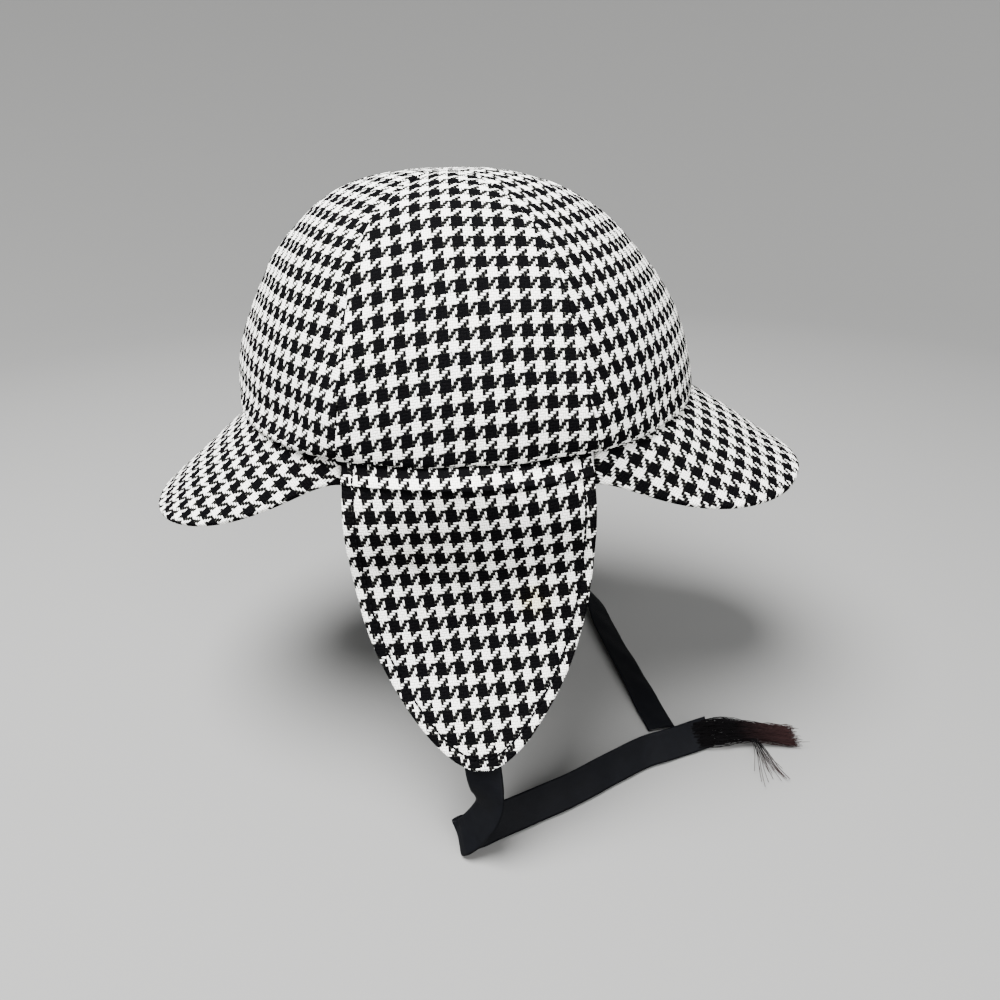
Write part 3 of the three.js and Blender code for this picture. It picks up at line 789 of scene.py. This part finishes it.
def flap_point(row, y):
    """A point of the left flap's outer face, a whole or broken number of rows below its root."""
    rows = np.arange(FLAP_ROWS)
    drop, out, kept = (np.interp(row, rows, values) for values in flap_sizes[[0, 1, 3]])
    hollow = CROWN_HALF_WIDTH * (1 - np.sqrt(1 - (y / CROWN_HALF_LENGTH) ** 2))
    swing = FLAP_SWING * smooth_rise(row / (FLAP_ROWS - 1))
    return np.stack([CROWN_HALF_WIDTH + out - kept * hollow, y + swing, -drop], axis=-1)


def nearest(points, outline):
    """How far each point lies from the nearest point of an outline."""
    return np.min(np.linalg.norm(points[..., None, :] - outline, axis=-1), axis=-1)


def flap_bulge(grain, inset, seed):
    """How far the flap's face stands out: soft unevenness, less the groove under the stitches."""
    groove = STITCH_GROOVE * np.exp(-((inset - STITCH_INSET) / GROOVE_WIDTH) ** 2)
    return FLAP_UNEVENNESS * soft_waves(grain[..., 0], grain[..., 1], seed, FLAP_UNEVEN_SIZE) - groove


flap_sizes = smooth_line(FLAP_SECTIONS, FLAP_ROWS).T
flap_rows = np.arange(FLAP_ROWS, dtype=float)
flap_down = lengths_along(flap_point(flap_rows, 0 * flap_rows), 0)
flap_hem = np.stack([flap_sizes[2], -flap_down], axis=-1)
flap_tip = np.linspace(1, -1, 12)[:, None] * flap_hem[-1] * (1, 0) + flap_hem[-1] * (0, 1)
flap_outline = np.concatenate([flap_hem, flap_tip, flap_hem[::-1] * (-1, 1)])


def ear_flap(name, mirror, lie, seed):
    """One ear flap with its stitched groove. The right one is the mirror of the left."""
    row, share = np.meshgrid(flap_rows, 2 * gathered_steps(FLAP_COLUMNS) - 1, indexing="ij")
    y = share * flap_sizes[2][:, None]
    places = flap_point(row, y)
    grain = np.stack([y, -flap_down[:, None] + 0 * y], axis=-1)
    inset = nearest(grain, flap_outline)
    distance = np.minimum(inset, flap_down[:, None])
    places = places - lattice_normals(places) * flap_bulge(grain, inset, seed)[..., None]
    if mirror:
        places = places * np.array([-1, 1, 1])
        grain = grain * np.array([-1, 1])
    else:
        places, grain, distance = places[::-1], grain[::-1], distance[::-1]
    return cloth_from(name, places, laid(grain, **lie), distance, FLAP_CLOTH, FLAP_EDGE)


left_flap = ear_flap("left_flap", False, LEFT_FLAP_LIE, LEFT_FLAP_SEED)
right_flap = ear_flap("right_flap", True, RIGHT_FLAP_LIE, RIGHT_FLAP_SEED)
belongs(left_flap, "left_ear_flap")
belongs(right_flap, "right_ear_flap")
cloth_pieces += [left_flap, right_flap]
print("flaps:", triangles(left_flap), triangles(right_flap), "triangles")

# %% [markdown]
# ## The stitches round the flaps
# One row of black machine stitches runs round each flap, inside its edge. Its line is the flap's outline
# moved inwards in the flat cloth, and then laid on the curved face. A stitch is a short thick thread that
# comes up, lies on the cloth and goes down again, so its ends sink in and its middle shows.

# %% Flap stitches
STITCH_PITCH = 0.0027
STITCH_SHARE = 0.9
STITCH_RADIUS = 0.00048
STITCH_STEPS = 6
STITCH_TOP = 0.003
STITCH_ARCH = 0.00025
STITCH_SIDES = 6
INSET_SLACK = 0.00015
OUTLINE_STEPS = 900
SMOOTHING_PASSES = 12


def stitch_line():
    """Places in the flat flap, evenly spaced along the row of stitches."""
    run = lengths_along(flap_outline[:, None], 0)[:, 0]
    even = np.linspace(0, run[-1], OUTLINE_STEPS)
    outline = np.stack([np.interp(even, run, flap_outline[:, axis]) for axis in (0, 1)], axis=-1)
    way = unit(np.gradient(outline, axis=0))
    row = outline + np.stack([way[:, 1], -way[:, 0]], axis=-1) * STITCH_INSET
    row = row[(nearest(row, outline) > STITCH_INSET - INSET_SLACK) & (row[:, 1] < -STITCH_TOP)]
    for _ in range(SMOOTHING_PASSES):
        row[1:-1] = (row[:-2] + 2 * row[1:-1] + row[2:]) / 4
    return row


def stitches(name, mirror, seed):
    """The row of stitches on one flap, on its outer and its inner face."""
    row = stitch_line()
    run = lengths_along(row[:, None], 0)[:, 0]
    count = int(run[-1] / STITCH_PITCH)
    share = np.linspace(0, 1, STITCH_STEPS)
    spots = STITCH_PITCH * (np.arange(count)[:, None] + STITCH_SHARE * share[None, :])
    y, down = np.interp(spots, run, row[:, 0]), -np.interp(spots, run, row[:, 1])
    at = np.interp(down, flap_down, flap_rows)
    step = 1e-4
    out = unit(np.cross(flap_point(at, y + step) - flap_point(at, y - step),
                        flap_point(np.maximum(at - 0.2, 0), y) - flap_point(at + 0.2, y)))
    grain = np.stack([y, -down], axis=-1)
    bulge = flap_bulge(grain, nearest(grain, flap_outline), seed)
    arch = STITCH_ARCH * np.sin(math.pi * share)
    places = flap_point(at, y)
    outer = places + out * (bulge + arch)[..., None]
    inner = places + out * (bulge - FLAP_CLOTH - arch)[..., None]
    lines = np.concatenate([outer, inner])
    if mirror:
        lines = lines * np.array([-1, 1, 1])
    radii = STITCH_RADIUS * np.where(np.abs(2 * share - 1) > 0.99, POINTED_END, 1.0)
    return thread_tubes(name, lines, np.broadcast_to(radii, lines.shape[:2]), STITCH_SIDES)


stitch_rows = [
    stitches("left_flap_stitches", False, LEFT_FLAP_SEED),
    stitches("right_flap_stitches", True, RIGHT_FLAP_SEED),
]
for piece in stitch_rows:
    belongs(piece)
print("stitches:", sum(map(triangles, stitch_rows)), "triangles")

# %% [markdown]
# ## The houndstooth
# Houndstooth comes from the weave itself: four dark and four light threads in turn, both ways, in a twill
# where each thread passes over two and under two. So the pattern is not drawn: a node group counts the
# threads across and along the cloth, asks which one lies on top, and takes that thread's colour. The same
# count gives each thread its rounded back for the bump, and noise roughens it into wool.

# %% The weave as a node group
THREADS = 8
# The light half of a repeat is a little narrower than the dark half, in threads.
LIGHT_BAND = 3.6
# The threads waver, in threads: slowly over the whole cloth, and finely along each thread.
LOOSE_SCALE = 55.0
LOOSE_WAVER = 0.9
ROUGH_SCALE = 1100.0
ROUGH_WAVER = 0.55
FIBRE_SCALE = 5200.0


class Wires:
    """Adds nodes to a tree and links them, so that a formula reads from top to bottom."""

    def __init__(self, tree):
        self.tree = tree

    def node(self, kind, **settings):
        """One node with its settings."""
        made = self.tree.nodes.new(kind)
        for name, value in settings.items():
            setattr(made, name, value)
        return made

    def feed(self, socket, value):
        """A link, or a plain value, into a socket."""
        if isinstance(value, bpy.types.NodeSocket):
            self.tree.links.new(value, socket)
        else:
            socket.default_value = value

    def math(self, operation, *values):
        """A Math node."""
        made = self.node("ShaderNodeMath", operation=operation)
        for socket, value in zip(made.inputs, values):
            self.feed(socket, value)
        return made.outputs[0]

    def mix(self, share, first, second):
        """A value between two values."""
        made = self.node("ShaderNodeMix", data_type="FLOAT")
        for index, value in ((0, share), (2, first), (3, second)):
            self.feed(made.inputs[index], value)
        return made.outputs[0]

    def colour(self, share, first, second, blend="MIX"):
        """A colour between two colours."""
        made = self.node("ShaderNodeMix", data_type="RGBA", blend_type=blend)
        for index, value in ((0, share), (6, first), (7, second)):
            self.feed(made.inputs[index], value)
        return made.outputs[2]

    def noise(self, vector, scale, detail=2.0, roughness=0.5):
        """A Noise Texture's node."""
        made = self.node("ShaderNodeTexNoise")
        self.feed(made.inputs["Vector"], vector)
        made.inputs["Scale"].default_value = scale
        made.inputs["Detail"].default_value = detail
        made.inputs["Roughness"].default_value = roughness
        return made

    def spread(self, value, low, high, to_low=0.0, to_high=1.0):
        """A value stretched from one range to another, and kept within it."""
        made = self.node("ShaderNodeMapRange", clamp=True)
        for index, number in enumerate((value, low, high, to_low, to_high)):
            self.feed(made.inputs[index], number)
        return made.outputs[0]


def new_group(name, inputs, outputs):
    """An empty shader node group with named inputs of some kinds and outputs of numbers, and its wires."""
    group = bpy.data.node_groups.new(name, "ShaderNodeTree")
    for socket, kind in inputs.items():
        group.interface.new_socket(socket, in_out="INPUT", socket_type="NodeSocket" + kind)
    for socket in outputs:
        group.interface.new_socket(socket, in_out="OUTPUT", socket_type="NodeSocketFloat")
    wires = Wires(group)
    return group, wires, wires.node("NodeGroupInput"), wires.node("NodeGroupOutput")


def houndstooth_group():
    """Which thread lies on top, whether it is light, and how high its back stands."""
    group, w, given, out = new_group(
        "houndstooth_twill",
        {"Grain": "Vector", "Repeat Across": "Float", "Repeat Along": "Float"},
        ["Light", "Light Below", "Cover", "Relief", "Fibre", "Thread"],
    )
    grain = given.outputs["Grain"]
    loose = w.noise(grain, LOOSE_SCALE)
    rough = w.noise(grain, ROUGH_SCALE)
    place = w.node("ShaderNodeSeparateXYZ")
    w.feed(place.inputs[0], grain)
    counted = []
    for axis, repeat in ((0, "Repeat Across"), (1, "Repeat Along")):
        repeats = w.math("DIVIDE", place.outputs[axis], given.outputs[repeat])
        threads = w.math("MULTIPLY", repeats, float(THREADS))
        for source, amount in ((loose, LOOSE_WAVER), (rough, ROUGH_WAVER)):
            parts = w.node("ShaderNodeSeparateColor")
            w.feed(parts.inputs[0], source.outputs["Color"])
            threads = w.math("MULTIPLY_ADD", w.math("SUBTRACT", parts.outputs[axis], 0.5), amount, threads)
        within = w.math("FLOORED_MODULO", threads, float(THREADS))
        whole = w.math("SUBTRACT", threads, within)
        light_part = w.math("MULTIPLY", w.math("MINIMUM", within, LIGHT_BAND), THREADS / 2 / LIGHT_BAND)
        dark_part = w.math("MULTIPLY", w.math("MAXIMUM", w.math("SUBTRACT", within, LIGHT_BAND), 0.0),
                           THREADS / 2 / (THREADS - LIGHT_BAND))
        threads = w.math("ADD", whole, w.math("ADD", light_part, dark_part))
        counted.append((w.math("FLOOR", threads), w.math("FRACT", threads)))
    (warp, in_warp), (weft, in_weft) = counted
    order = w.math("FLOORED_MODULO", w.math("ADD", w.math("SUBTRACT", warp, weft), 3.0), 4.0)
    warp_on_top = w.math("LESS_THAN", order, 2.0)
    light_warp = w.math("LESS_THAN", w.math("FLOORED_MODULO", warp, float(THREADS)), THREADS / 2)
    light_weft = w.math("LESS_THAN", w.math("FLOORED_MODULO", weft, float(THREADS)), THREADS / 2)
    light = w.mix(warp_on_top, light_weft, light_warp)
    over_weft = w.math("MULTIPLY", w.math("ADD", w.math("SUBTRACT", 1.0, order), in_weft), 0.5)
    over_warp = w.math("MULTIPLY", w.math("ADD", w.math("SUBTRACT", order, 2.0), in_warp), 0.5)
    length_share = w.mix(warp_on_top, over_warp, over_weft)
    width_share = w.mix(warp_on_top, in_weft, in_warp)
    across = w.math("ABSOLUTE", w.math("MULTIPLY_ADD", width_share, 2.0, -1.0))
    along = w.math("ABSOLUTE", w.math("MULTIPLY_ADD", length_share, 2.0, -1.0))
    fibre = w.noise(grain, FIBRE_SCALE, 3.0, 0.65).outputs["Fac"]
    edge = w.math("SQRT", w.math("ADD", w.math("POWER", across, 2.0), w.math("POWER", along, 7.0)))
    edge = w.math("MULTIPLY_ADD", w.math("SUBTRACT", fibre, 0.5), 0.5, edge)
    light_below = w.mix(warp_on_top, light_warp, light_weft)
    on_light = w.spread(edge, 0.70, 1.0, 1.0, 0.0)
    on_dark = w.spread(edge, 0.48, 0.80, 1.0, 0.0)
    cover = w.mix(light, w.spread(edge, 0.85, 1.05, 1.0, 0.0), w.mix(light_below, on_dark, on_light))
    slope = w.math("MINIMUM", w.math("MAXIMUM", edge, 0.0), 1.0)
    relief = w.math("SUBTRACT", 1.0, w.math("POWER", slope, 2.0))
    number = w.node("ShaderNodeTexWhiteNoise", noise_dimensions="1D")
    w.feed(number.inputs["W"], w.mix(warp_on_top, weft, w.math("ADD", warp, 5000.0)))
    results = (light, light_below, cover, relief, fibre, number.outputs["Value"])
    for socket, result in zip(out.inputs, results):
        w.feed(socket, result)
    return group


houndstooth = houndstooth_group()
print("weave group:", len(houndstooth.nodes), "nodes")

# %% [markdown]
# ## Stains and painted shade
# The hat is not new: one of the white checks on the near flap is yellowed, a real stain. The grey patches on
# the near flap's middle are painted shade, where the flap faces down under the crown's edge. Each mark is a
# place on the hat with a radius. The group measures the distance from it and breaks the edge up with noise,
# and the wool's colour is multiplied there.

# %% Stains and painted shade
# Each row: the middle of the mark, its radius and its strength.
# Painted shade: grey patches where the near flap's middle faces down under the crown's edge.
PAINTED_SHADE_PATCHES = [
    ((0.0970, -0.0170, -0.0330), 0.024, 0.9),
    ((0.0955, 0.0040, -0.0480), 0.020, 0.8),
    ((0.0975, -0.0060, -0.0200), 0.018, 0.6),
]
# Real stains: yellowed spots.
YELLOW_MARKS = [
    ((0.0962, 0.0240, -0.0565), 0.009, 1.0),
    ((0.0920, -0.0660, -0.0090), 0.006, 0.8),
]
# The grey that the painted shade multiplies into the wool.
PAINTED_SHADE_GREY = (0.70, 0.69, 0.65, 1)
YELLOW_MARK = (0.96, 0.91, 0.68, 1)
# The share of a mark's radius that has its full strength.
MARK_CORE = 0.3


def stains_and_shade_group():
    """How much painted shade and how much yellow stain the wool gets at a place of the hat."""
    group, w, given, out = new_group("stains_and_shade", {"Place": "Vector"}, ["Painted Shade", "Yellow"])
    # Noise breaks up the edge of the painted shade.
    cloud = w.spread(w.noise(given.outputs["Place"], 130.0, 3.0).outputs["Fac"], 0.36, 0.62)
    for name, marks in (("Painted Shade", PAINTED_SHADE_PATCHES), ("Yellow", YELLOW_MARKS)):
        total = 0.0
        for place, radius, strength in marks:
            away = w.node("ShaderNodeVectorMath", operation="DISTANCE")
            w.feed(away.inputs[0], given.outputs["Place"])
            w.feed(away.inputs[1], place)
            mark = w.spread(away.outputs["Value"], radius, radius * MARK_CORE, 0.0, strength)
            total = w.math("MAXIMUM", mark, total)
        w.feed(out.inputs[name], w.math("MULTIPLY", total, cloud) if name == "Painted Shade" else total)
    return group


stains_and_shade = stains_and_shade_group()
print("marks:", len(PAINTED_SHADE_PATCHES) + len(YELLOW_MARKS))

# %% [markdown]
# ## The materials
# The wool takes its colour from the weave group and its bump from the same threads. It has no shine at
# all: wool scatters light among its fibres, and any gloss would turn the black checks grey. The ribbon keeps
# a low gloss and has fine ribs across it. Sewing thread and loose threads are plain dark fibre.

# %% Houndstooth wool
REPEAT_ACROSS = 0.00755
REPEAT_ALONG = 0.0086
LIGHT_WOOL = (0.93, 0.925, 0.89, 1)
DARK_WOOL = (0.0016, 0.0016, 0.0020, 1)
DARK_FLECK = (0.009, 0.0085, 0.007, 1)
SHADOWED_BY_LIGHT = (0.52, 0.51, 0.46, 1)
SHADOWED_BY_DARK = (0.07, 0.07, 0.06, 1)
WOOL_BUMP = 0.00022
RIBBON_DARK = (0.0008, 0.0009, 0.0013, 1)
RIBBON_PALER = (0.0020, 0.0023, 0.0034, 1)
RIB_PITCH = 0.00055
RIB_BUMP = 0.00005
STITCH_BLACK = (0.0014, 0.0014, 0.0017, 1)
FRAY_BLACK = (0.0022, 0.0020, 0.0022, 1)
FRAY_BROWN = (0.019, 0.0095, 0.0095, 1)
FLOOR_GREY = (0.145, 0.145, 0.142, 1)


def new_material(name, roughness, gloss=0.5):
    """A material with its Principled shader, and its wires."""
    material = bpy.data.materials.new(name)
    material.use_nodes = True
    shader = material.node_tree.nodes["Principled BSDF"]
    shader.inputs["Roughness"].default_value = roughness
    shader.inputs["Specular IOR Level"].default_value = gloss
    return material, Wires(material.node_tree), shader


def bump(wires, shader, height, distance, strength):
    """A Bump node between a height in thread heights and the shader's normal."""
    made = wires.node("ShaderNodeBump")
    made.inputs["Strength"].default_value = strength
    made.inputs["Distance"].default_value = distance
    wires.feed(made.inputs["Height"], height)
    wires.feed(shader.inputs["Normal"], made.outputs["Normal"])


def houndstooth_material():
    """Light and dark wool in a houndstooth twill."""
    material, w, shader = new_material("houndstooth_wool", roughness=1.0, gloss=0.0)
    grain = w.node("ShaderNodeUVMap", uv_map=GRAIN)
    weave = w.node("ShaderNodeGroup", node_tree=houndstooth)
    w.feed(weave.inputs["Grain"], grain.outputs["UV"])
    weave.inputs["Repeat Across"].default_value = REPEAT_ACROSS
    weave.inputs["Repeat Along"].default_value = REPEAT_ALONG
    light, relief, fibre = (weave.outputs[name] for name in ("Light", "Relief", "Fibre"))
    fibre_shade = w.spread(fibre, 0.25, 0.75, 0.88, 1.06)
    thread_shade = w.spread(weave.outputs["Thread"], 0, 1, 0.93, 1.03)
    shade = w.math("MULTIPLY", fibre_shade, thread_shade)
    dark = w.colour(w.spread(fibre, 0.54, 0.72), DARK_WOOL, DARK_FLECK)
    above = w.colour(light, dark, LIGHT_WOOL)
    shadowed = w.colour(light, SHADOWED_BY_DARK, SHADOWED_BY_LIGHT)
    below = w.colour(weave.outputs["Light Below"], dark, shadowed)
    wool = w.colour(weave.outputs["Cover"], below, above)
    wool = w.colour(1.0, wool, shade, "MULTIPLY")
    marks = w.node("ShaderNodeGroup", node_tree=stains_and_shade)
    w.feed(marks.inputs["Place"], w.node("ShaderNodeTexCoord").outputs["Object"])
    # Painted shade darkens the near flap's middle. The yellow real stains follow.
    wool = w.colour(marks.outputs["Painted Shade"], wool, PAINTED_SHADE_GREY, "MULTIPLY")
    wool = w.colour(marks.outputs["Yellow"], wool, YELLOW_MARK, "MULTIPLY")
    w.feed(shader.inputs["Base Color"], wool)
    bump(w, shader, w.math("MULTIPLY_ADD", fibre, 0.5, relief), WOOL_BUMP, strength=0.8)
    return material


def thread_material(name, root, tip):
    """Dark thread whose colour changes from its root to its tip."""
    material, w, shader = new_material(name, roughness=0.9, gloss=0.02)
    run = w.node("ShaderNodeAttribute", attribute_name=RUN).outputs["Fac"]
    w.feed(shader.inputs["Base Color"], w.colour(w.spread(run, 0.4, 1.0), root, tip))
    return material


def ribbon_material():
    """Black ribbon with fine ribs across it."""
    material, w, shader = new_material("black_ribbon", roughness=0.55, gloss=0.05)
    grain = w.node("ShaderNodeUVMap", uv_map=GRAIN)
    place = w.node("ShaderNodeSeparateXYZ")
    w.feed(place.inputs[0], grain.outputs["UV"])
    rib = w.math("SINE", w.math("MULTIPLY", place.outputs[1], math.tau / RIB_PITCH))
    mottle = w.noise(grain.outputs["UV"], 260.0, 3.0)
    w.feed(shader.inputs["Base Color"], w.colour(mottle.outputs["Fac"], RIBBON_DARK, RIBBON_PALER))
    bump(w, shader, rib, RIB_BUMP, strength=0.6)
    return material


def dress(piece, material):
    """The piece wears one material."""
    piece.data.materials.clear()
    piece.data.materials.append(material)


wool = houndstooth_material()
ribbon_black = ribbon_material()
for piece in cloth_pieces:
    dress(piece, wool)
for piece in (left_ribbon, right_ribbon):
    dress(piece, ribbon_black)
stitch_thread = thread_material("black_thread", STITCH_BLACK, STITCH_BLACK)
for piece in stitch_rows:
    dress(piece, stitch_thread)
dress(fray, thread_material("brown_black_thread", FRAY_BLACK, FRAY_BROWN))

floor_material, _, floor_shader = new_material("pale_floor", roughness=0.9)
floor_shader.inputs["Base Color"].default_value = FLOOR_GREY
dress(floor, floor_material)
print("materials:", len(bpy.data.materials))
